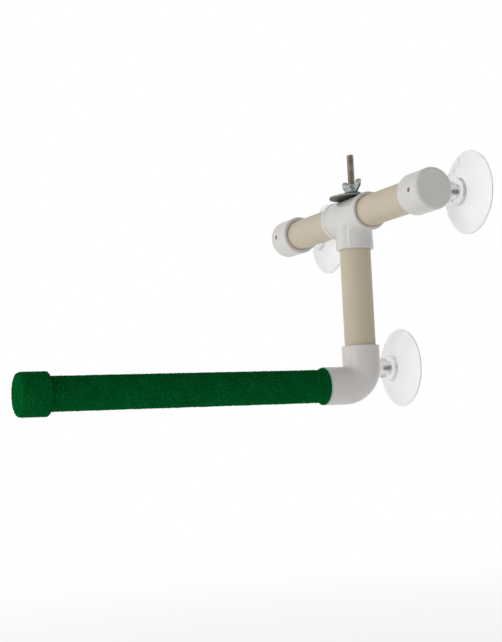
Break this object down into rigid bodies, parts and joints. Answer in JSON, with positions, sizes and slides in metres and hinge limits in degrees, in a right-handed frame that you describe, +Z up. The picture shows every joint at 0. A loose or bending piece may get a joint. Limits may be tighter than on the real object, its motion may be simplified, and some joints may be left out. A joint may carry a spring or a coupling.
{
  "type": "bird shower perch",
  "caption": "Perch for a shower wall: a pipe crossbar on suction cups, a swivelling drop tube and a grit-coated arm.",
  "frame": {"origin": "on the wall, midway between the two upper cups, level with the crossbar's axis", "axes": "+Y into the wall, +Z up, +X along the crossbar to the right of someone facing the wall; the perch points along -Y"},
  "size_m": [0.3048, 0.3434, 0.2202],
  "materials": {
    "white_fitting": "moulded white pipe fitting, satin",
    "beige_tube": "extruded beige pipe, satin",
    "green_grit": "coarse grit set in dark green paint",
    "clear_cup": "clear soft vinyl",
    "dull_steel": "dull plated steel, brownish",
    "zinc_steel": "zinc plated, bluish",
    "dark_steel": "dull galvanised steel"
  },
  "bodies": {
    "crossbar_frame": {"tee_fitting": "white_fitting", "crossbar_tube_left": "beige_tube", "crossbar_tube_right": "beige_tube", "end_cap_left": "white_fitting", "end_cap_right": "white_fitting", "suction_cup_left": "clear_cup", "suction_cup_right": "clear_cup", "cup_stud_left": "dull_steel", "cup_stud_right": "dull_steel", "fender_washer": "dark_steel", "spring_washer": "dark_steel"},
    "perch_arm": {"drop_tube": "beige_tube", "swivel_plug": "white_fitting", "swivel_bolt": "dull_steel", "bolt_head_washer": "zinc_steel", "elbow_fitting": "white_fitting", "suction_cup_lower": "clear_cup", "cup_stud_lower": "dull_steel", "perch_tube": "beige_tube", "perch_end_cap": "white_fitting", "perch_tube_coating": "green_grit", "perch_cap_coating": "green_grit"},
    "nut_washer": {"flat_washer": "zinc_steel"},
    "nut": {"wing_nut": "zinc_steel"}
  },
  "joints": [
    {"name": "perch_swivel", "type": "hinge", "parent": "crossbar_frame", "child": "perch_arm", "pos_m": [0, -0.0397, 0], "axis": [0, 0, 1], "range_deg": [-90, 90]},
    {"name": "wing_nut_lift", "type": "slide", "parent": "perch_arm", "child": "nut_washer", "axis": [0, 0, 1], "range_m": [0, 0.0255]},
    {"name": "wing_nut_turn", "type": "hinge", "parent": "nut_washer", "child": "nut", "pos_m": [0, -0.0397, 0.02], "axis": [0, 0, 1], "range_deg": [0, 7200]}
  ],
  "couplings": [
    {"joint": "wing_nut_lift", "follows": "wing_nut_turn", "m_per_rad": 0.00020213}
  ]
}
